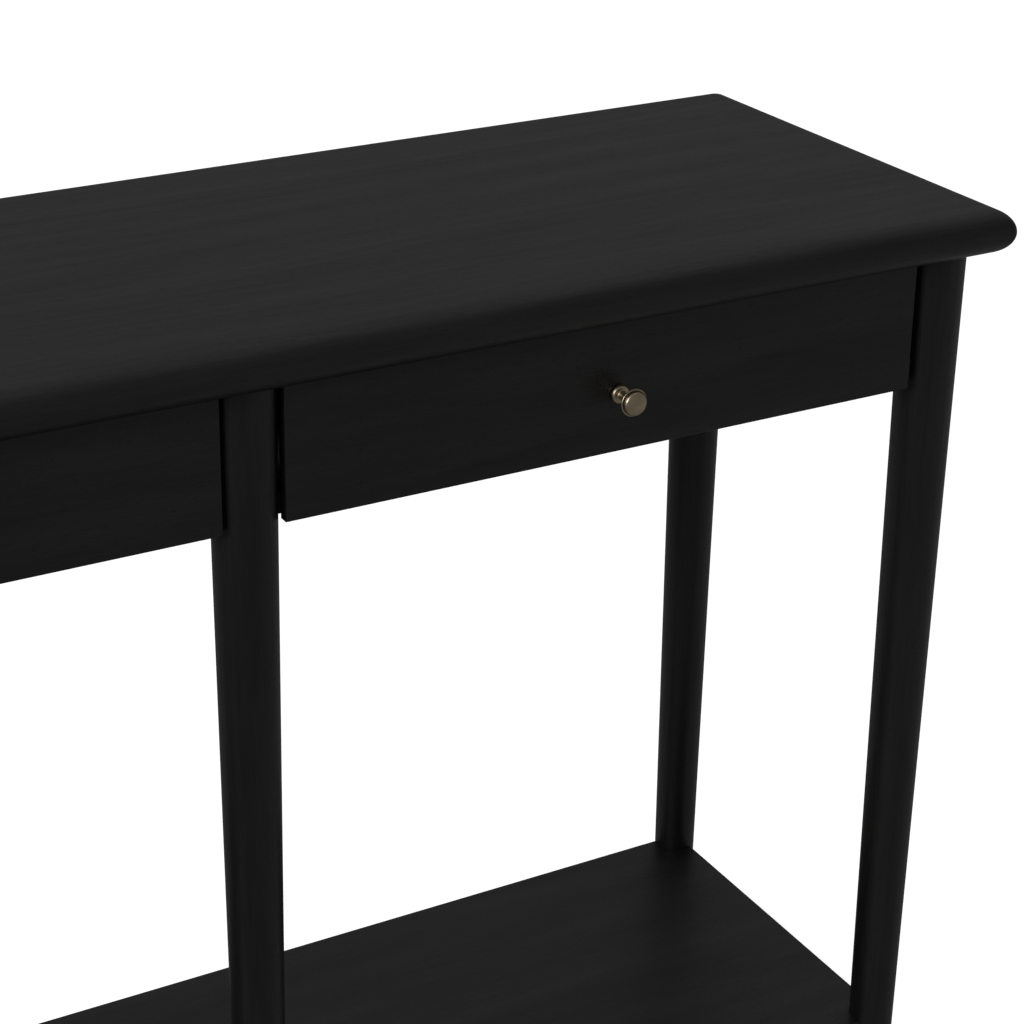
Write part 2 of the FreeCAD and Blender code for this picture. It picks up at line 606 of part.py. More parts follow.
def make_knob():
    """A turned knob about the Y axis: a round foot, a hollowed neck, a thin rim, a groove and a low cap."""
    foot, neck = KNOB_FOOT_DIAMETER / 2, KNOB_NECK_DIAMETER / 2
    rim, groove, cap = KNOB_RIM_DIAMETER / 2, KNOB_GROOVE_DIAMETER / 2, KNOB_CAP_DIAMETER / 2
    cap_back = KNOB_LENGTH - KNOB_CAP_THICKNESS
    rim_front = cap_back - KNOB_GROOVE_WIDTH
    rim_back = rim_front - KNOB_RIM_THICKNESS
    foot_half = KNOB_FOOT_THICKNESS / 2
    neck_end = rim_back - KNOB_FLARE_LENGTH
    shoulder = KNOB_LENGTH - KNOB_CROWN_HEIGHT
    flat = cap - KNOB_CAP_ROUND
    slant = math.cos(math.radians(45))
    crown_radius = (flat ** 2 + KNOB_CROWN_HEIGHT ** 2) / (2 * KNOB_CROWN_HEIGHT)
    crown_middle = KNOB_LENGTH - crown_radius + math.sqrt(crown_radius ** 2 - (flat / 2) ** 2)

    def at(radius, out):
        return Vector(radius, FRONT_FACE - out, 0)

    def bend(start, through, end):
        return Part.Arc(at(*start), at(*through), at(*end)).toShape()

    def hollow(start, end, depth):
        through = ((start[0] + end[0]) / 2 - depth, (start[1] + end[1]) / 2)
        return bend(start, through, end)

    def straight(start, end):
        return Part.LineSegment(at(*start), at(*end)).toShape()

    foot_back = (foot - foot_half, 0)
    foot_front = (foot - foot_half, KNOB_FOOT_THICKNESS)
    rim_edge = rim - KNOB_RIM_THICKNESS / 2
    round_middle = (flat + KNOB_CAP_ROUND * slant, shoulder - KNOB_CAP_ROUND * (1 - slant))
    outline = [
        straight((0, 0), foot_back),
        bend(foot_back, (foot, foot_half), foot_front),
        hollow(foot_front, (neck, KNOB_NECK_START), KNOB_NECK_HOLLOW),
        straight((neck, KNOB_NECK_START), (neck, neck_end)),
        hollow((neck, neck_end), (rim_edge, rim_back), KNOB_FLARE_HOLLOW),
        bend((rim_edge, rim_back), (rim, (rim_back + rim_front) / 2), (rim_edge, rim_front)),
        straight((rim_edge, rim_front), (groove, rim_front)),
        straight((groove, rim_front), (groove, cap_back)),
        straight((groove, cap_back), (cap, cap_back)),
        straight((cap, cap_back), (cap, shoulder - KNOB_CAP_ROUND)),
        bend((cap, shoulder - KNOB_CAP_ROUND), round_middle, (flat, shoulder)),
        bend((flat, shoulder), (flat / 2, crown_middle), (0, KNOB_LENGTH)),
        straight((0, KNOB_LENGTH), (0, 0)),
    ]
    knob = Part.Face(Part.Wire(outline)).revolve(Vector(0, 0, 0), Vector(0, 1, 0), 360)
    knob.translate(Vector(0, 0, FRONT_BOTTOM + KNOB_LIFT))
    return knob


def knob_bolt(grow=0.0):
    """The bolt from inside the box, through both fronts, into the knob. With grow, its hole."""
    at = (0, BOX_FRONT_INNER, FRONT_BOTTOM + KNOB_LIFT)
    length = BOX_WALL + DRAWER_FRONT_THICKNESS + KNOB_THREAD_DEPTH
    if grow:
        return rod(KNOB_BOLT_DIAMETER + 2 * grow, length + grow, at, (0, -1, 0))
    return headed_screw(SCREW_HEAD_DIAMETER, SCREW_HEAD_HEIGHT, KNOB_BOLT_DIAMETER, length, at, (0, -1, 0))


def front_screw_places():
    half = HALF_BOX - FRONT_SCREW_INSET
    return [(x, BOX_FRONT_INNER, BOX_BOTTOM + FRONT_SCREW_LIFT) for x in (-half, half)]


def front_screws(grow=0.0):
    """Two screws that hold the drawer front to the box."""
    if grow:
        return [rod(SCREW_DIAMETER + 2 * grow, FRONT_SCREW_LENGTH + grow, at, (0, -1, 0))
                for at in front_screw_places()]
    return [headed_screw(SCREW_HEAD_DIAMETER, SCREW_HEAD_HEIGHT, SCREW_DIAMETER, FRONT_SCREW_LENGTH,
                         at, (0, -1, 0)) for at in front_screw_places()]


def box_dowels():
    """The dowels at the box's four corners, each from the side's inner face into the board's end."""
    found = []
    inner = HALF_BOX - BOX_WALL
    for y in (FRONT_BACK + BOX_WALL / 2, BOX_REAR - BOX_WALL / 2):
        for side in (-1, 1):
            for z in (BOX_BOTTOM + BOX_DOWEL_LIFT, BOX_TOP - BOX_DOWEL_DROP):
                start = (side * (inner + BOX_DOWEL_DEPTH), y, z)
                found.append((start, (-side, 0, 0), BOX_DOWEL_LENGTH, BOX_DOWEL_DIAMETER))
    return found


def box_panel(grow=0.0):
    """The bottom panel. With grow, the groove that it slides into, as one slab."""
    x = HALF_BOX - BOX_WALL + BOX_GROOVE_DEPTH - PANEL_FIT + grow
    y0 = BOX_FRONT_INNER - BOX_GROOVE_DEPTH + PANEL_FIT - grow
    y1 = BOX_REAR - BOX_WALL + BOX_GROOVE_DEPTH - PANEL_FIT + grow
    z = BOX_BOTTOM + BOX_PANEL_LIFT
    gap = FIT if grow else 0.0
    return block(-x, x, y0, y1, z - gap, z + BOX_PANEL_THICKNESS + gap)


def make_drawer(side):
    """One shut drawer's pieces about x = 0. Side is 1 for the right bay and -1 for the left one."""
    ends = sorted((side * FRONT_INNER_END, side * FRONT_OUTER_END))
    front = block(*ends, FRONT_FACE, FRONT_BACK, FRONT_BOTTOM, FRONT_TOP)
    front = round_edges(front, DRAWER_FRONT_ROUND, lambda e: e.BoundBox.YMax < FRONT_FACE + 0.01)
    inner = HALF_BOX - BOX_WALL
    z = (BOX_BOTTOM, BOX_TOP)
    boards = {
        "box_front": block(-inner, inner, FRONT_BACK, BOX_FRONT_INNER, *z),
        "box_back": block(-inner, inner, BOX_REAR - BOX_WALL, BOX_REAR, *z),
        "box_left_side": block(-HALF_BOX, -inner, FRONT_BACK, BOX_REAR, *z),
        "box_right_side": block(inner, HALF_BOX, FRONT_BACK, BOX_REAR, *z),
    }
    knob_shift = Vector(side * FRONT_MIDDLE, 0, 0)
    bolt, bolt_hole, knob = knob_bolt(), knob_bolt(FIT), make_knob()
    for shape in (bolt, bolt_hole, knob):
        shape.translate(knob_shift)
    groove = box_panel(PANEL_FIT)
    dowel_holes = [dowel_hole(d, length, start, way) for start, way, length, d in box_dowels()]
    screw_holes = front_screws(FIT) + [bolt_hole]
    slide_holes = {hand: [place_in_box(s, hand) for s in slide_screws(SLIDE_THICKNESS - SLIDE_METAL, FIT)]
                   for hand in ("left", "right")}
    made = {name: cut_all(board, [groove] + dowel_holes) for name, board in boards.items()}
    made["box_front"] = cut_all(made["box_front"], screw_holes)
    made["box_left_side"] = cut_all(made["box_left_side"], slide_holes["left"])
    made["box_right_side"] = cut_all(made["box_right_side"], slide_holes["right"])
    made["front"] = cut_all(front, screw_holes)
    made["box_bottom"] = box_panel()
    made["box_dowels"] = group(rod(d, length, start, way) for start, way, length, d in box_dowels())
    made["front_screws"] = group(front_screws())
    made["knob"] = cut_all(knob, [bolt_hole])
    made["knob_bolt"] = bolt
    return made


# ---------------------------------------------------------------- the whole table


def build_frame():
    """Top, legs, aprons, rails, shelf, packers, fixed slides and their fasteners."""
    table = dowel_table()
    boards = frame_boards()
    cutters = {name: [] for name in list(boards) + list(LEGS)}
    dowels = []
    for first, second, found in table:
        for start, way, length, diameter in found:
            dowels.append(rod(diameter, length, start, way))
            hole = dowel_hole(diameter, length, start, way)
            cutters[first].append(hole)
            cutters[second].append(hole)

    top_holes = []
    brackets = []
    bracket_screws = []
    for point, normal, board in bracket_places():
        brackets.append(make_bracket(point, normal))
        for index, (at, way) in enumerate(bracket_screw_places(point, normal)):
            bracket_screws.append(headed_screw(SCREW_HEAD_DIAMETER, SCREW_HEAD_HEIGHT, SCREW_DIAMETER,
                                               BRACKET_SCREW_LENGTH, at, way))
            hole = rod(SCREW_DIAMETER + 2 * FIT, BRACKET_SCREW_LENGTH + FIT, at, way)
            (top_holes if index == 0 else cutters[board]).append(hole)
    rail_screws = []
    for at, way in rail_screw_places():
        rail_screws.append(sunk_screw(SCREW_HEAD_DIAMETER, SCREW_DIAMETER, RAIL_SCREW_LENGTH, at, way))
        hole = sunk_screw(SCREW_HEAD_DIAMETER, SCREW_DIAMETER, RAIL_SCREW_LENGTH, at, way, FIT)
        top_holes.append(hole)
        cutters["left_upper_rail" if at[0] < 0 else "right_upper_rail"].append(hole)

    for name, place in LEGS.items():
        cutters[name].append(glide_pin(place, FIT))
    joints = {name: shelf_joint(name) for name in LEGS}
    for name, joint in joints.items():
        cutters[name].append(joint["hole"])

    parts = {"table_top": cut_all(make_top(), top_holes)}
    for name, place in LEGS.items():
        parts[name] = make_leg(place, cutters[name])
    leg_copes = [leg_taper(place, APRON_BOTTOM - 5, UNDERSIDE + 5, SEAT) for place in LEGS.values()]
    fixed_holes, fixed_screws = [], []
    for bay in BAYS:
        for hand in ("left", "right"):
            holes = [place_slide(s, bay, hand) for s in slide_screws(SLIDE_METAL, FIT)]
            strip = place_slide(packer(), bay, hand)
            channel = place_slide(fixed_channel(), bay, hand)
            parts[f"{bay}_bay_{hand}_packer"] = cut_all(strip, holes)
            parts[f"{bay}_bay_{hand}_slide_fixed"] = cut_all(channel, holes)
            fixed_holes += holes
            fixed_screws += [place_slide(s, bay, hand) for s in slide_screws(SLIDE_METAL)]
    for name, board in boards.items():
        parts[name] = cut_all(board, leg_copes + cutters[name] + fixed_holes)
    parts["frame_dowels"] = group(dowels)
    parts["top_brackets"] = group(brackets)
    parts["top_screws"] = group(bracket_screws + rail_screws)
    parts["slide_screws"] = group(fixed_screws)
    parts["lower_shelf"] = make_shelf(list(joints.values()))
    parts["shelf_bolts"] = group(j["bolt"] for j in joints.values())
    parts["shelf_nuts"] = group(piece for j in joints.values() for piece in j["fasteners"])
    parts["leg_glides"] = group(make_glide(place) for place in LEGS.values())
    return parts


def build_drawers():
    """Both drawers, with their moving channels, ball cages and fasteners."""
    parts = {}
    for bay, middle in BAYS.items():
        for name, shape in make_drawer(math.copysign(1, middle)).items():
            moved = shape.copy()
            moved.translate(Vector(middle, 0, 0))
            parts[f"{bay}_drawer_{name}"] = moved
        screws = []
        for hand in ("left", "right"):
            head = SLIDE_THICKNESS - SLIDE_METAL
            holes = [place_slide(s, bay, hand) for s in slide_screws(head, FIT)]
            channel = place_slide(moving_channel(), bay, hand)
            parts[f"{bay}_drawer_{hand}_slide_moving"] = cut_all(channel, holes)
            parts[f"{bay}_bay_{hand}_ball_cage"] = group(place_slide(s, bay, hand) for s in ball_cage())
            screws += [place_slide(s, bay, hand) for s in slide_screws(head)]
        parts[f"{bay}_drawer_slide_screws"] = group(screws)
    return parts


def main():
    os.makedirs("parts", exist_ok=True)
    parts = {**build_frame(), **build_drawers()}
    for name, shape in parts.items():
        sound = shape.isValid() and all(solid.isClosed() and solid.Volume > 0 for solid in shape.Solids)
        state = "ok" if sound else "BAD"
        print(f"{name}: {len(shape.Solids)} solids, {shape.Volume / 1000:.2f} cm3, {state}")
        shape.exportStep(f"parts/{name}.step")
    print(f"{len(parts)} nodes")


main()
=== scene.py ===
# %% [markdown]
# # A black console table
# The table's boards, turned legs, drawers and fittings were drawn in a CAD program first. This lesson loads
# that model as a fixed frame, gives every board and fitting its finish, and models again the pieces whose
# surface deserves finer work: the moulded top, the turned legs, the drawer fronts and the brass knobs.

# %% Load the table
import json
import math

import bpy
from mathutils import Matrix, Vector


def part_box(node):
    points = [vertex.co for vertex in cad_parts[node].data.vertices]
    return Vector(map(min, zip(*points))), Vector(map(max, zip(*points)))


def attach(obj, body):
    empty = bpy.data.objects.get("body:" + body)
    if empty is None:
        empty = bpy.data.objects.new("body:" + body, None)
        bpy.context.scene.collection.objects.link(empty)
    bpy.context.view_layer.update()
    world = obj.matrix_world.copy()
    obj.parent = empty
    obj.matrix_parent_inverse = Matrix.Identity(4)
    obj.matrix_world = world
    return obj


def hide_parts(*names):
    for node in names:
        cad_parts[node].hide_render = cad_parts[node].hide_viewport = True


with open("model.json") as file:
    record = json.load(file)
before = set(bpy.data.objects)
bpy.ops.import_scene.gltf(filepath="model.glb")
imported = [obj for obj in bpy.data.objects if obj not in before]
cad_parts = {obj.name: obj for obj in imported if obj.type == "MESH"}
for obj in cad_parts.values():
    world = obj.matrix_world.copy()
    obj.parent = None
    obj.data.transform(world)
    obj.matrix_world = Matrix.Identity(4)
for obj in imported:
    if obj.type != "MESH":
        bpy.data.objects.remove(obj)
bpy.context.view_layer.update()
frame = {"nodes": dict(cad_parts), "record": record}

nodes = frame["nodes"]

# %% [markdown]
# The camera stands in front of the left half of the table, a little above eye height for someone seated,
# and looks down and to the right. A long lens keeps the boards' edges nearly parallel. The frame is slid
# sideways and down with the lens shift, as a view camera does, so that the right-hand bay fills it.

# %% Place the camera
CAMERA_PLACE = (-0.5946, -1.5230, 1.3589)
CAMERA_TILT = math.radians(90 - 22.44)
CAMERA_TURN = math.radians(-27.56)
LENS = 88.1
SENSOR_WIDTH = 36
LENS_SHIFT = (0.1006, -0.100)
NEAREST, FARTHEST = 0.05, 100

camera = bpy.data.objects.new("camera", bpy.data.cameras.new("camera"))
bpy.context.scene.collection.objects.link(camera)
camera.location = CAMERA_PLACE
camera.rotation_euler = (CAMERA_TILT, 0, CAMERA_TURN)
camera.data.lens = LENS
camera.data.sensor_width = SENSOR_WIDTH
camera.data.shift_x, camera.data.shift_y = LENS_SHIFT
camera.data.clip_start, camera.data.clip_end = NEAREST, FARTHEST
bpy.context.scene.camera = camera
print("camera at", CAMERA_PLACE, "lens", LENS)

# %% [markdown]
# A shader is a small network of nodes. A few helpers keep the lesson short: one adds a node with its
# settings and plugs in its inputs, two do the same for a sum on single numbers and on positions, one moves
# a value from one range on to another, and one starts a material with an empty network.

# %% Helpers for shader nodes
def put(tree, kind, inputs=(), **settings):
    """A node in the tree. Each input is given a value, or the output of another node."""
    made = tree.nodes.new(kind)
    for name, value in settings.items():
        setattr(made, name, value)
    for socket, value in dict(inputs).items():
        if isinstance(value, bpy.types.NodeSocket):
            tree.links.new(value, made.inputs[socket])
        else:
            made.inputs[socket].default_value = value
    return made


def sum_node(tree, operation, *values):
    """The output of a Math node."""
    return put(tree, "ShaderNodeMath", enumerate(values), operation=operation).outputs[0]


def vector_sum(tree, operation, first, second, socket=1):
    """A Vector Math node."""
    return put(tree, "ShaderNodeVectorMath", {0: first, socket: second}, operation=operation)


def stretch(tree, value, low, high, to_low=0.0, to_high=1.0):
    """A value's range moved on to another range, and held between its ends."""
    inputs = {"Value": value, "From Min": low, "From Max": high, "To Min": to_low, "To Max": to_high}
    return put(tree, "ShaderNodeMapRange", inputs).outputs["Result"]


def start_material(name):
    """A material with an empty tree."""
    material = bpy.data.materials.new(name)
    material.use_nodes = True
    material.node_tree.nodes.clear()
    return material, material.node_tree


print("shader helpers ready")

# %% [markdown]
# The studio is a white sweep. A black lacquered surface shows almost nothing of its own colour: what is
# seen on it is the room's reflection. The room that the table reflects is therefore a dim grey with a
# brighter ceiling overhead and behind, over a floor that grows a little lighter to the right, while the
# floor and the air that the camera sees directly are white. A Light Path node tells the two apart.

# %% Build the studio
ROOM_GREY = 0.155
CEILING_GLOW = 0.225
CEILING_FROM, CEILING_TO = 0.45, 0.85
BACK_FROM, BACK_TO = -0.55, 0.0
SWEEP_SIZE = 60
PAPER_COLOUR = (0.82, 0.82, 0.82, 1)
PAPER_LIFT = 0.86
FLOOR_REACH = 1.5
FLOOR_LEFT, FLOOR_RIGHT = 0.10, 0.19
WHITE = (1, 1, 1, 1)

world = bpy.data.worlds.new("studio_air")
bpy.context.scene.world = world
world.use_nodes = True
air = world.node_tree
air.nodes.clear()
seen = put(air, "ShaderNodeLightPath").outputs["Is Camera Ray"]
way = put(air, "ShaderNodeSeparateXYZ", {0: put(air, "ShaderNodeTexCoord").outputs["Generated"]})
overhead = stretch(air, way.outputs["Z"], CEILING_FROM, CEILING_TO)
behind = stretch(air, way.outputs["Y"], BACK_FROM, BACK_TO)
glow = sum_node(air, "MULTIPLY", overhead, behind)
glow = sum_node(air, "MULTIPLY_ADD", glow, CEILING_GLOW, ROOM_GREY)
reflected = put(air, "ShaderNodeBackground", {"Color": WHITE, "Strength": glow})
bright = put(air, "ShaderNodeBackground", {"Color": WHITE, "Strength": 1.0})
mixed = put(air, "ShaderNodeMixShader", {0: seen, 1: reflected.outputs[0], 2: bright.outputs[0]})
put(air, "ShaderNodeOutputWorld", {"Surface": mixed.outputs[0]})

bpy.ops.object.select_all(action="DESELECT")
bpy.ops.mesh.primitive_plane_add(size=SWEEP_SIZE, location=(0, 0, 0))
floor = bpy.context.active_object
floor.name = "studio_floor"
paper, tree = start_material("studio_paper")
seen = put(tree, "ShaderNodeLightPath").outputs["Is Camera Ray"]
lit = put(tree, "ShaderNodeBsdfDiffuse", {"Color": PAPER_COLOUR})
lift = put(tree, "ShaderNodeEmission", {"Color": WHITE, "Strength": PAPER_LIFT})
white = put(tree, "ShaderNodeAddShader", {0: lit.outputs[0], 1: lift.outputs[0]})
place = put(tree, "ShaderNodeTexCoord").outputs["Object"]
across = put(tree, "ShaderNodeSeparateXYZ", {0: place}).outputs["X"]
grey = stretch(tree, across, -FLOOR_REACH, FLOOR_REACH, FLOOR_LEFT, FLOOR_RIGHT)
dim = put(tree, "ShaderNodeEmission", {"Color": WHITE, "Strength": grey})
mixed = put(tree, "ShaderNodeMixShader", {0: seen, 1: dim.outputs[0], 2: white.outputs[0]})
put(tree, "ShaderNodeOutputMaterial", {"Surface": mixed.outputs[0]})
floor.data.materials.append(paper)
bpy.context.scene.view_settings.view_transform = "Standard"
print("room grey", ROOM_GREY)

# %% [markdown]
# One large soft lamp, as a product studio has, hangs high on the left in front. It puts the bright spots on
# the brass and a faint sheen on the boards.

# %% Hang the lamp
LAMP_PLACE = Vector((-2.6, -1.5, 2.0))
LAMP_AIM = Vector((0.2, 0, 0.6))
LAMP_SIZE = 1.5
LAMP_WATTS = 42

lamp = bpy.data.objects.new("main_lamp", bpy.data.lights.new("main_lamp", "AREA"))
bpy.context.scene.collection.objects.link(lamp)
lamp.data.shape = "SQUARE"
lamp.data.size = LAMP_SIZE
lamp.data.energy = LAMP_WATTS
lamp.location = LAMP_PLACE
lamp.rotation_euler = (LAMP_AIM - LAMP_PLACE).to_track_quat("-Z", "Y").to_euler()
print(lamp.name, "at", tuple(LAMP_PLACE), LAMP_WATTS, "W")

# %% [markdown]
# Every wooden piece here shows the same things at the same scale: growth rings cut through by the saw, fine
# fibres along the board, and short dark pores. They belong in one node group, which takes a position whose
# X runs along the grain and puts out masks. Rings are distances from the log's heart, bent by a slow noise.
# The cloudy streaks, the fibres and the pores are noise that is squeezed across the grain, each by its own
# pair of scales, along and across.

# %% Make the wood figure group
BEND_SCALES = (1.6, 7.0)
CLOUD_SCALES = (3.4, 42.0)
FIBRE_SCALES = (26.0, 620.0)
PORE_SCALES = (150.0, 2100.0)
EARLY_WOOD, LATE_WOOD = 0.82, 0.86


def start_group(name, inputs, outputs):
    """An empty node group with named sockets, its input node and its output node."""
    group = bpy.data.node_groups.new(name, "ShaderNodeTree")
    for label, kind, value in inputs:
        socket = group.interface.new_socket(label, in_out="INPUT", socket_type=kind)
        socket.default_value = value
    for label, kind in outputs:
        group.interface.new_socket(label, in_out="OUTPUT", socket_type=kind)
    return group, put(group, "NodeGroupInput"), put(group, "NodeGroupOutput")


def scaled(tree, vector, along, across):
    """A position squeezed along the grain and across it."""
    inputs = {"Vector": vector, "Scale": (along, across, across)}
    return put(tree, "ShaderNodeMapping", inputs).outputs[0]


def noise(tree, vector, detail=2.0, roughness=0.5):
    """A noise node, with a value from 0 to 1 and a colour."""
    inputs = {"Vector": vector, "Scale": 1.0, "Detail": detail, "Roughness": roughness}
    return put(tree, "ShaderNodeTexNoise", inputs)


figure_group, given, made = start_group(
    "Wood Figure",
    [("Vector", "NodeSocketVector", (0, 0, 0)), ("Heart", "NodeSocketVector", (0, 0, 0)),
     ("Ring Spacing", "NodeSocketFloat", 0.007), ("Wander", "NodeSocketFloat", 0.03)],
    [("Rings", "NodeSocketFloat"), ("Cloud", "NodeSocketFloat"), ("Fibre", "NodeSocketFloat"),
     ("Pores", "NodeSocketFloat"), ("Height", "NodeSocketFloat")],
)
g = figure_group
along_board = given.outputs["Vector"]
slow = noise(g, scaled(g, along_board, *BEND_SCALES)).outputs["Color"]
bend = vector_sum(g, "SUBTRACT", slow, (0.5, 0.5, 0.5)).outputs[0]
bend = vector_sum(g, "SCALE", bend, given.outputs["Wander"], "Scale").outputs[0]
from_heart = vector_sum(g, "SUBTRACT", along_board, given.outputs["Heart"]).outputs[0]
bent = vector_sum(g, "ADD", from_heart, bend).outputs[0]
flat_place = vector_sum(g, "MULTIPLY", bent, (0, 1, 1)).outputs[0]
distance = put(g, "ShaderNodeVectorMath", {0: flat_place}, operation="LENGTH").outputs["Value"]
ring = sum_node(g, "FRACT", sum_node(g, "DIVIDE", distance, given.outputs["Ring Spacing"]))
early = stretch(g, ring, 0.0, EARLY_WOOD)
late = stretch(g, ring, LATE_WOOD, 1.0, 1.0, 0.0)
rings = sum_node(g, "MULTIPLY", sum_node(g, "POWER", early, 1.7), late)
cloud = stretch(g, noise(g, scaled(g, bent, *CLOUD_SCALES), 4.0, 0.62).outputs["Fac"], 0.32, 0.68)
fibre = stretch(g, noise(g, scaled(g, along_board, *FIBRE_SCALES), 3.0, 0.6).outputs["Fac"], 0.3, 0.7)
pores = stretch(g, noise(g, scaled(g, along_board, *PORE_SCALES), 1.0).outputs["Fac"], 0.62, 0.7)
height = sum_node(g, "SUBTRACT", sum_node(g, "MULTIPLY_ADD", rings, 0.35, fibre), pores)
masks = {"Rings": rings, "Cloud": cloud, "Fibre": fibre, "Pores": pores, "Height": height}
for label, value in masks.items():
    g.links.new(value, made.inputs[label])
print("group", g.name, "with", len(g.nodes), "nodes")

# %% [markdown]
# Handling wears a finish first where a board or a fitting has an edge, and an edge also catches a thin line
# of light. One mask stands for both, so the lightening it drives is partly wear and partly painted
# highlight.
# A Bevel node gives the normal that the surface would have if its edges were rounded: where that differs
# from the true normal there is an edge near. Noise breaks the line up, so that the worn, highlighted edge is
# never an even stripe.

# %% Make the edge wear and painted highlight group
FLAT_AGREEMENT, EDGE_AGREEMENT = 0.995, 0.90

edge_wear_highlight_group, given, made = start_group(
    "Edge Wear And Highlight",
    [("Vector", "NodeSocketVector", (0, 0, 0)), ("Width", "NodeSocketFloat", 0.0015),
     ("Grain", "NodeSocketFloat", 90.0)],
    [("Wear And Highlight", "NodeSocketFloat")],
)
g = edge_wear_highlight_group
rounded = put(g, "ShaderNodeBevel", {"Radius": given.outputs["Width"]}, samples=4).outputs[0]
true_normal = put(g, "ShaderNodeNewGeometry").outputs["Normal"]
agree = vector_sum(g, "DOT_PRODUCT", rounded, true_normal).outputs["Value"]
edge = stretch(g, agree, FLAT_AGREEMENT, EDGE_AGREEMENT)
inputs = {"Vector": given.outputs["Vector"], "Scale": given.outputs["Grain"], "Detail": 3.0}
patches = put(g, "ShaderNodeTexNoise", inputs).outputs["Fac"]
# This mask lightens edges in the finishes below: partly edge wear, partly a painted highlight.
g.links.new(sum_node(g, "MULTIPLY", edge, stretch(g, patches, 0.35, 0.65)), made.inputs["Wear And Highlight"])
print("group", g.name, "with", len(g.nodes), "nodes")

# %% [markdown]
# The table is stained black and finished with a satin lacquer. The stain leaves the wood nearly without
# colour, and the figure is read from the sheen: the late wood is denser and shinier, the pores stay open
# and dull. One function makes the finish for each direction that the grain runs in, because turning the
# pattern is all that differs.

# %% Make the black finish
QUARTER = math.radians(90)
GRAIN_TURNS = {"x": (0, 0, 0), "y": (0, 0, -QUARTER), "z": (0, QUARTER, 0)}
LACQUER_IOR = 1.5
LACQUER_DULL, LACQUER_SHINY = 0.42, 0.33
STAIN_DEEP, STAIN_THIN = (0.0006, 0.0006, 0.0006), (0.0150, 0.0146, 0.0142)
PORE_BLACK = (0.0008, 0.0008, 0.0008)
# Colour laid on the edges: partly wear, partly a painted highlight.
EDGE_WEAR_HIGHLIGHT_BROWN = (0.022, 0.019, 0.016)


def grain_place(tree, grain):
    """Object coordinates turned so that X runs along the grain."""
    place = put(tree, "ShaderNodeTexCoord").outputs["Object"]
    inputs = {"Vector": place, "Rotation": GRAIN_TURNS[grain]}
    return put(tree, "ShaderNodeMapping", inputs, vector_type="TEXTURE").outputs[0]


def two_colours(tree, share, dark, light):
    """A colour between two, by a mask."""
    inputs = {"Factor": share, 6: (*dark, 1), 7: (*light, 1)}
    return put(tree, "ShaderNodeMix", inputs, data_type="RGBA").outputs[2]


def colour_over(tree, share, below, above):
    """A plain colour laid over another node's colour, by a mask."""
    inputs = {"Factor": share, 6: below, 7: (*above, 1)}
    return put(tree, "ShaderNodeMix", inputs, data_type="RGBA").outputs[2]


def bumped(tree, height, strength, depth):
    """The normal of a surface with fine relief."""
    inputs = {"Height": height, "Strength": strength, "Distance": depth}
    return put(tree, "ShaderNodeBump", inputs).outputs[0]


def figured(tree, grain, heart, spacing, wander, shares):
    """The wood's figure, its streaks mixed by shares of rings, cloud and fibre, and the edges' wear with
    painted highlight.
    """
    place = grain_place(tree, grain)
    inputs = {"Vector": place, "Heart": heart, "Ring Spacing": spacing, "Wander": wander}
    figure = put(tree, "ShaderNodeGroup", inputs, node_tree=figure_group)
    edge_wear_highlight = put(tree, "ShaderNodeGroup", {"Vector": place}, node_tree=edge_wear_highlight_group)
    of_rings, of_cloud, of_fibre = shares
    streaks = sum_node(tree, "MULTIPLY", figure.outputs["Fibre"], of_fibre)
    streaks = sum_node(tree, "MULTIPLY_ADD", figure.outputs["Rings"], of_rings, streaks)
    streaks = sum_node(tree, "MULTIPLY_ADD", figure.outputs["Cloud"], of_cloud, streaks)
    return figure, streaks, edge_wear_highlight.outputs["Wear And Highlight"]


def black_wood(name, grain, heart, spacing=0.008, wander=0.035):
    """Black stain under satin lacquer."""
    material, tree = start_material(name)
    figure, streaks, edge_wear_highlight = figured(tree, grain, heart, spacing, wander, (0.14, 0.56, 0.30))
    pores = figure.outputs["Pores"]
    colour = two_colours(tree, streaks, STAIN_DEEP, STAIN_THIN)
    colour = colour_over(tree, pores, colour, PORE_BLACK)
    # Edges lightened towards brown: partly wear, partly a painted highlight.
    colour = colour_over(tree, sum_node(tree, "MULTIPLY", edge_wear_highlight, 0.35), colour, EDGE_WEAR_HIGHLIGHT_BROWN)
    dull = stretch(tree, streaks, 0.0, 1.0, LACQUER_DULL, LACQUER_SHINY)
    dull = sum_node(tree, "MULTIPLY_ADD", pores, 0.15, dull)
    shader = put(tree, "ShaderNodeBsdfPrincipled", {
        "Base Color": colour, "Roughness": dull, "IOR": LACQUER_IOR,
        "Normal": bumped(tree, figure.outputs["Height"], 0.25, 0.00035),
    })
    put(tree, "ShaderNodeOutputMaterial", {"Surface": shader.outputs[0]})
    return material


black_x = black_wood("black_stained_boards", "x", (0.0, 0.03, 0.74), 0.011, 0.05)
black_y = black_wood("black_stained_end_boards", "y", (0.0, 0.10, 0.60))
black_z = black_wood("black_stained_legs", "z", (0.0, 0.03, 0.035), 0.006, 0.02)
print("black finishes", black_x.name, black_y.name, black_z.name)

# %% [markdown]
# Inside the drawers the wood is left pale, under a thin clear coat, as drawer boxes usually are.

# %% Make the drawer wood and the dowels
PALE_WANDER = 0.03
BIRCH_DARK, BIRCH_LIGHT = (0.42, 0.27, 0.145), (0.60, 0.44, 0.27)
BEECH_DARK, BEECH_LIGHT = (0.45, 0.26, 0.15), (0.62, 0.40, 0.24)


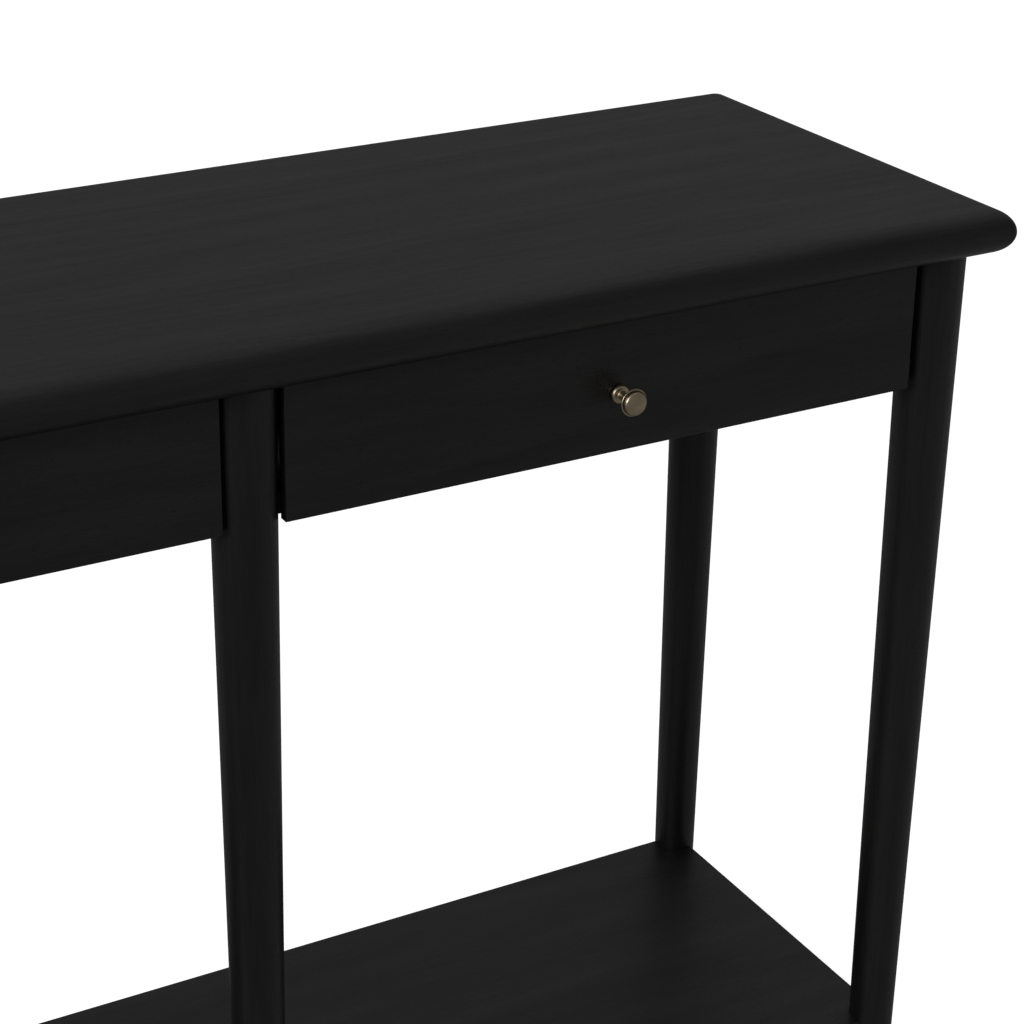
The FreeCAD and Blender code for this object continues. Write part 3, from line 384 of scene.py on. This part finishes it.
def pale_wood(name, grain, heart, dark, light, spacing=0.006):
    """Bare wood under a thin clear coat."""
    material, tree = start_material(name)
    figure, streaks, edge_wear_highlight = figured(tree, grain, heart, spacing, PALE_WANDER, (0.5, 0.2, 0.3))
    pores = sum_node(tree, "MULTIPLY", figure.outputs["Pores"], 0.5)
    colour = two_colours(tree, streaks, light, dark)
    colour = colour_over(tree, pores, colour, tuple(c * 0.5 for c in dark))
    # Edges lightened: partly wear, partly a painted highlight.
    colour = colour_over(tree, sum_node(tree, "MULTIPLY", edge_wear_highlight, 0.3), colour, tuple(c * 1.15 for c in light))
    dull = stretch(tree, streaks, 0.0, 1.0, 0.52, 0.42)
    shader = put(tree, "ShaderNodeBsdfPrincipled", {
        "Base Color": colour, "Roughness": dull, "IOR": LACQUER_IOR,
        "Normal": bumped(tree, figure.outputs["Height"], 0.3, 0.0003),
    })
    put(tree, "ShaderNodeOutputMaterial", {"Surface": shader.outputs[0]})
    return material


drawer_x = pale_wood("drawer_wood_across", "x", (0.0, 0.05, 0.66), BIRCH_DARK, BIRCH_LIGHT)
drawer_y = pale_wood("drawer_wood_sides", "y", (0.0, 0.20, 0.66), BIRCH_DARK, BIRCH_LIGHT)
dowel_wood = pale_wood("beech_dowel_wood", "y", (0.0, 0.1, 0.6), BEECH_DARK, BEECH_LIGHT, 0.002)
print("pale woods", drawer_x.name, drawer_y.name, dowel_wood.name)

# %% [markdown]
# Metals get their look from what they reflect, so their character is in the roughness: rolling and tumbling
# leave fine marks, and plated parts are a little cloudy. The brass was darkened on purpose and wiped back,
# which leaves the dark only in the recesses, where an Ambient Occlusion node finds it. The glides are a
# dull black nylon.

# %% Make the metals and the nylon
CLOUDY_SCALE = 120.0
# Width of the edge mask that brightens metal edges: partly wear, partly a painted highlight.
METAL_WEAR_HIGHLIGHT_WIDTH = 0.0006
RECESS_REACH = 0.0022
PATINA_COLOUR = (0.030, 0.024, 0.015)


def metal(name, colour, darker, dull, scale, squeeze=(1, 1, 1), relief=0.0001, patina=0.0):
    """A metal with a cloudy colour, fine marks, edges brightened as wear and painted highlight, and, if
    asked, dark recesses.
    """
    material, tree = start_material(name)
    place = put(tree, "ShaderNodeTexCoord").outputs["Object"]
    marks_place = put(tree, "ShaderNodeMapping", {"Vector": place, "Scale": squeeze}).outputs[0]
    inputs = {"Vector": marks_place, "Scale": scale, "Detail": 4.0, "Roughness": 0.6}
    marks = stretch(tree, put(tree, "ShaderNodeTexNoise", inputs).outputs["Fac"], 0.3, 0.7)
    inputs = {"Vector": place, "Scale": CLOUDY_SCALE, "Detail": 2.0}
    cloudy = stretch(tree, put(tree, "ShaderNodeTexNoise", inputs).outputs["Fac"], 0.35, 0.65)
    edge_wear_highlight = put(tree, "ShaderNodeGroup", {"Vector": place, "Width": METAL_WEAR_HIGHLIGHT_WIDTH}, node_tree=edge_wear_highlight_group)
    shade = two_colours(tree, cloudy, colour, darker)
    # Edges brightened: partly wear, partly a painted highlight.
    shade = colour_over(tree, sum_node(tree, "MULTIPLY", edge_wear_highlight.outputs["Wear And Highlight"], 0.5), shade,
                        tuple(min(1, c * 1.25) for c in colour))
    if patina:
        reach = {"Distance": RECESS_REACH}
        openness = put(tree, "ShaderNodeAmbientOcclusion", reach, samples=8).outputs["AO"]
        recess = sum_node(tree, "MULTIPLY", stretch(tree, openness, 0.72, 0.25), patina)
        shade = colour_over(tree, recess, shade, PATINA_COLOUR)
    rough = stretch(tree, cloudy, 0, 1, dull - 0.04, dull + 0.04)
    rough = sum_node(tree, "MULTIPLY_ADD", marks, 0.12, rough)
    shader = put(tree, "ShaderNodeBsdfPrincipled", {
        "Base Color": shade, "Roughness": rough, "Metallic": 1.0, "Normal": bumped(tree, marks, 0.3, relief),
    })
    put(tree, "ShaderNodeOutputMaterial", {"Surface": shader.outputs[0]})
    return material


zinc = metal("zinc_plated_slides", (0.55, 0.56, 0.57), (0.42, 0.43, 0.44), 0.30, 900.0, (3, 0.1, 3))
steel = metal("fastener_steel_plate", (0.58, 0.57, 0.54), (0.44, 0.43, 0.41), 0.28, 1500.0)
brass = metal("antique_brass_metal", (0.60, 0.50, 0.35), (0.47, 0.385, 0.26), 0.30, 2500.0, relief=0.00003,
              patina=0.92)

NYLON_DARK, NYLON_LIGHT = (0.045, 0.044, 0.042), (0.085, 0.082, 0.078)
nylon, tree = start_material("glide_nylon_dull")
place = put(tree, "ShaderNodeTexCoord").outputs["Object"]
pits = put(tree, "ShaderNodeTexNoise", {"Vector": place, "Scale": 1400.0, "Detail": 3.0}).outputs["Fac"]
scuffs = put(tree, "ShaderNodeTexNoise", {"Vector": place, "Scale": 160.0, "Detail": 4.0}).outputs["Fac"]
shader = put(tree, "ShaderNodeBsdfPrincipled", {
    "Base Color": two_colours(tree, stretch(tree, scuffs, 0.4, 0.65), NYLON_DARK, NYLON_LIGHT),
    "Roughness": stretch(tree, pits, 0.3, 0.7, 0.5, 0.68),
    "Normal": bumped(tree, pits, 0.4, 0.0002),
})
put(tree, "ShaderNodeOutputMaterial", {"Surface": shader.outputs[0]})
print("metals", zinc.name, steel.name, brass.name, nylon.name)

# %% [markdown]
# Each CAD piece now takes its finish. The direction of its grain is that of its longest side, which is how
# a joiner cuts a board.

# %% Dress the CAD pieces
BLACK = {"x": black_x, "y": black_y, "z": black_z}
PALE = {"x": drawer_x, "y": drawer_y, "z": drawer_y}
PLAIN = {"beech_dowel": dowel_wood, "antique_brass": brass, "zinc_steel": zinc, "fastener_steel": steel,
         "glide_nylon": nylon}


def longest_side(name):
    """The axis that a piece is longest on."""
    low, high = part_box(name)
    sides = high - low
    return "xyz"[max(range(3), key=lambda i: sides[i])]


def finish_of(name, slot):
    """The material for a CAD piece, by its slot and the way its grain runs."""
    if slot == "black_stained_wood":
        return BLACK[longest_side(name)]
    if slot == "drawer_wood":
        return PALE[longest_side(name)]
    return PLAIN[slot]


for row in frame["record"]["subparts"]:
    piece = nodes[row["node"]]
    material = finish_of(row["node"], row["material_slot"])
    piece.data.materials.clear()
    piece.data.materials.append(material)

# %% [markdown]
# The pieces below are modelled again, because they are what the eye meets first. Each one starts from a
# primitive at its size and place and is shaped in edit mode, as by hand. Two helpers select edges or faces
# by a test on where they are, one makes the shading smooth, and one finishes a piece: it gives it its
# material and says which CAD piece it stands for.

# %% Helpers for modelling
MM = 0.001
CLOSE = 0.1 * MM
SMOOTH_BELOW = 40


def pick_edges(piece, wanted):
    """In edit mode, selects the edges whose two ends pass the test."""
    bpy.ops.object.mode_set(mode="EDIT")
    bpy.ops.mesh.select_mode(type="EDGE")
    bpy.ops.mesh.select_all(action="DESELECT")
    bpy.ops.object.mode_set(mode="OBJECT")
    points = piece.data.vertices
    for edge in piece.data.edges:
        edge.select = wanted(*(points[i].co for i in edge.vertices))
    bpy.ops.object.mode_set(mode="EDIT")


def pick_faces(piece, wanted):
    """In edit mode, selects the faces that pass the test."""
    bpy.ops.mesh.select_mode(type="FACE")
    bpy.ops.mesh.select_all(action="DESELECT")
    bpy.ops.object.mode_set(mode="OBJECT")
    for face in piece.data.polygons:
        face.select = wanted(face)
    bpy.ops.object.mode_set(mode="EDIT")


def smooth(piece):
    """Smooth shading on the active piece, with flat faces kept flat by weighted normals."""
    bpy.ops.object.mode_set(mode="OBJECT")
    bpy.ops.object.shade_smooth_by_angle(angle=math.radians(SMOOTH_BELOW))
    bpy.ops.object.modifier_add(type="WEIGHTED_NORMAL")
    weights = piece.modifiers[-1]
    weights.keep_sharp = True
    bpy.ops.object.modifier_apply(modifier=weights.name)


def stand_for(piece, node, body, material):
    """The finished piece takes the CAD piece's place."""
    piece.data.materials.clear()
    piece.data.materials.append(material)
    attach(piece, body)
    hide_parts(node)
    print(piece.name, "faces", len(piece.data.polygons), "for", node)


print("modelling helpers ready")

# %% [markdown]
# The top is one thick board. All its edges are rounded over to a full half-round with a router, and the
# sharp tips of the corners are sanded off. It starts as a flat outline at half the board's thickness, with
# its corners rounded. The outline is extruded upwards ring by ring while it shrinks along the half-round,
# then downwards in the same way.

# %% Model the top
NOSE_STEPS = 14
CORNER_STEPS = 6
CORNER_SOFTNESS = 5.5 * MM

low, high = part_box("table_top")
middle, half = (low + high) / 2, (high - low) / 2
nose = half.z
bpy.ops.object.select_all(action="DESELECT")
bpy.ops.mesh.primitive_plane_add(size=2, location=middle)
top = bpy.context.active_object
top.name = top.data.name = "table_top_board"
top.scale = (half.x, half.y, 1)
bpy.ops.object.transform_apply(location=True, rotation=True, scale=True)
bpy.ops.object.mode_set(mode="EDIT")
bpy.ops.mesh.select_all(action="SELECT")
bpy.ops.mesh.bevel(offset=CORNER_SOFTNESS, segments=CORNER_STEPS, profile=0.5, affect="VERTICES")
for way in (1, -1):
    if way < 0:
        pick_faces(top, lambda face: abs(face.center.z - middle.z) < CLOSE)
    inset, lift = 0.0, 0.0
    for step in range(1, NOSE_STEPS + 1):
        turn = math.radians(90 * step / NOSE_STEPS)
        new_inset, new_lift = nose * (1 - math.cos(turn)), nose * math.sin(turn)
        bpy.ops.mesh.extrude_region_move(TRANSFORM_OT_translate={"value": (0, 0, way * (new_lift - lift))})
        shrink = ((half.x - new_inset) / (half.x - inset), (half.y - new_inset) / (half.y - inset), 1)
        bpy.ops.transform.resize(value=shrink, center_override=middle)
        inset, lift = new_inset, new_lift
bpy.ops.mesh.select_all(action="SELECT")
bpy.ops.mesh.normals_make_consistent(inside=False)
smooth(top)
stand_for(top, "table_top", "frame", black_x)

# %% [markdown]
# The legs are turned: an even taper from the apron down to the foot, where the lathe tool leaves a small
# round so that the foot doesn't splinter. A cone has the taper already, and a bevel softens the edge of its
# foot. Its upper end is hidden against the top.

# %% Turn the legs
LEG_SIDES = 96
FOOT_RADIUS = 17.25 * MM
FOOT_ROUND = 2.5 * MM
FOOT_STEPS = 5

for node in sorted(n for n in nodes if n.endswith("_leg")):
    low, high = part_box(node)
    middle = (low + high) / 2
    bpy.ops.object.select_all(action="DESELECT")
    bpy.ops.mesh.primitive_cone_add(vertices=LEG_SIDES, radius1=FOOT_RADIUS, radius2=(high.x - low.x) / 2,
                                    depth=high.z - low.z, location=middle)
    leg = bpy.context.active_object
    leg.name = leg.data.name = node + "_turned"
    bpy.ops.object.transform_apply(location=True, rotation=True, scale=True)
    foot = low.z
    pick_edges(leg, lambda a, b: max(a.z, b.z) < foot + CLOSE)
    bpy.ops.mesh.bevel(offset=FOOT_ROUND, segments=FOOT_STEPS, profile=0.5)
    smooth(leg)
    stand_for(leg, node, "frame", black_z)

# %% [markdown]
# A drawer front is a thin flat board in front of the box. Its edges are broken with sandpaper, most of all
# round the face. A box gets a narrow bevel on the four edges of its face, and a finer one on the four at
# its back.

# %% Plane the drawer fronts
FACE_ROUND = 1.0 * MM
BACK_ROUND = 0.4 * MM

for side in ("left", "right"):
    node = side + "_drawer_front"
    low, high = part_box(node)
    bpy.ops.object.select_all(action="DESELECT")
    bpy.ops.mesh.primitive_cube_add(size=1, location=(low + high) / 2, scale=high - low)
    front = bpy.context.active_object
    front.name = front.data.name = node + "_board"
    bpy.ops.object.transform_apply(location=True, rotation=True, scale=True)
    face = low.y
    pick_edges(front, lambda a, b: max(a.y, b.y) < face + CLOSE)
    bpy.ops.mesh.bevel(offset=FACE_ROUND, segments=4, profile=0.5)
    pick_edges(front, lambda a, b: min(a.y, b.y) > high.y - CLOSE)
    bpy.ops.mesh.bevel(offset=BACK_ROUND, segments=2, profile=0.5)
    smooth(front)
    stand_for(front, node, side + "_drawer", black_x)

# %% [markdown]
# The knobs are cast brass, turned and then darkened: a round foot against the wood, a slim neck that flares
# out to a thin rim, a groove, and a low cap with a soft shoulder. Half of the outline is drawn by extruding
# one point along it, and the spin operator turns it about the knob's axis. The second knob is a copy that
# is slid to its own drawer.

# %% Turn the knobs
FOOT, FOOT_THICK = 6.95 * MM, 4.6 * MM
NECK, NECK_START, NECK_END = 3.2 * MM, 6.1 * MM, 14.6 * MM
RIM_THICK, GROOVE_DEPTH, GROOVE_WIDTH = 1.3 * MM, 1.7 * MM, 0.9 * MM
CAP_INSET, CAP_THICK, CAP_ROUND, CROWN = 1.15 * MM, 4.1 * MM, 2.9 * MM, 1.1 * MM
GROOVE_EXTRA, GROOVE_LIP = 0.3 * MM, 0.05 * MM
CAP_EDGE = 0.4 * MM
NECK_STRAIGHT = 2 * MM
THROAT_SHARE = 0.8
CROWN_PLACES = (0.9, 0.75, 0.55, 0.35, 0.18)
TURNING_STEPS = 72
DOUBLES = 0.01 * MM
KNOB_SMOOTH_BELOW = 50


def arc(centre, radius, start, end, steps, squash=1.0):
    """Points on an arc, as (distance from the axis, distance from the drawer). Angles are in degrees."""
    turns = [math.radians(start + (end - start) * i / steps) for i in range(steps + 1)]
    return [(centre[0] + radius * math.cos(t), centre[1] + radius * squash * math.sin(t)) for t in turns]


def knob_outline(rim, length):
    """Half of the knob's outline, from the middle of its foot to the middle of its cap."""
    cap_back = length - CAP_THICK
    rim_front = cap_back - GROOVE_WIDTH
    rim_back = rim_front - RIM_THICK
    cap = rim - CAP_INSET
    rise = CROWN / (cap - CAP_ROUND) ** 2
    outline = [(0, 0)] + arc((FOOT - FOOT_THICK / 2, FOOT_THICK / 2), FOOT_THICK / 2, -90, 90, 10)
    throat = (NECK_START - FOOT_THICK) * THROAT_SHARE
    outline += arc((NECK + throat, NECK_START), throat, 260, 180, 5, 1.2)
    outline += [(NECK, NECK_START + NECK_STRAIGHT)]
    flare = rim - RIM_THICK / 2 - NECK
    outline += arc((NECK + flare, NECK_END), flare, 180, 96, 12, (rim_back - NECK_END) / flare)
    outline += arc((rim - RIM_THICK / 2, rim_back + RIM_THICK / 2), RIM_THICK / 2, -84, 84, 8)
    groove = rim - GROOVE_DEPTH - GROOVE_EXTRA
    outline += [(groove, rim_front + GROOVE_LIP), (groove, cap_back)]
    outline += arc((cap - CAP_EDGE, cap_back + CAP_EDGE), CAP_EDGE, -90, 0, 3)
    outline += arc((cap - CAP_ROUND, length - CROWN - CAP_ROUND), CAP_ROUND, 0, 84, 10)
    for share in CROWN_PLACES:
        r = (cap - CAP_ROUND) * share
        outline.append((r, length - rise * r * r))
    return outline + [(0, length)]


low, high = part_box("right_drawer_knob")
axis = Vector(((low.x + high.x) / 2, 0, (low.z + high.z) / 2))
outline = knob_outline((high.x - low.x) / 2, high.y - low.y)
bpy.ops.object.select_all(action="DESELECT")
bpy.ops.mesh.primitive_plane_add(size=1 * MM, location=(axis.x, high.y, axis.z))
knob = bpy.context.active_object
bpy.ops.object.transform_apply(location=True, rotation=True, scale=True)
bpy.ops.object.mode_set(mode="EDIT")
bpy.ops.mesh.select_mode(type="VERT")
bpy.ops.mesh.select_all(action="SELECT")
bpy.ops.mesh.merge(type="CENTER")
for (r0, out0), (r1, out1) in zip(outline, outline[1:]):
    bpy.ops.mesh.extrude_region_move(TRANSFORM_OT_translate={"value": (r1 - r0, out0 - out1, 0)})
bpy.ops.mesh.select_all(action="SELECT")
bpy.ops.mesh.spin(steps=TURNING_STEPS, angle=math.radians(360), center=axis, axis=(0, 1, 0))
bpy.ops.mesh.select_all(action="SELECT")
bpy.ops.mesh.remove_doubles(threshold=DOUBLES)
bpy.ops.mesh.normals_make_consistent(inside=False)
bpy.ops.object.mode_set(mode="OBJECT")
bpy.ops.object.shade_smooth_by_angle(angle=math.radians(KNOB_SMOOTH_BELOW))
left_low, left_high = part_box("left_drawer_knob")
other = knob.copy()
other.data = knob.data.copy()
bpy.context.scene.collection.objects.link(other)
other.data.transform(Matrix.Translation(((left_low.x + left_high.x) / 2 - axis.x, 0, 0)))
for piece, side in ((knob, "right"), (other, "left")):
    piece.name = piece.data.name = side + "_drawer_knob_turned"
    stand_for(piece, side + "_drawer_knob", side + "_drawer", brass)
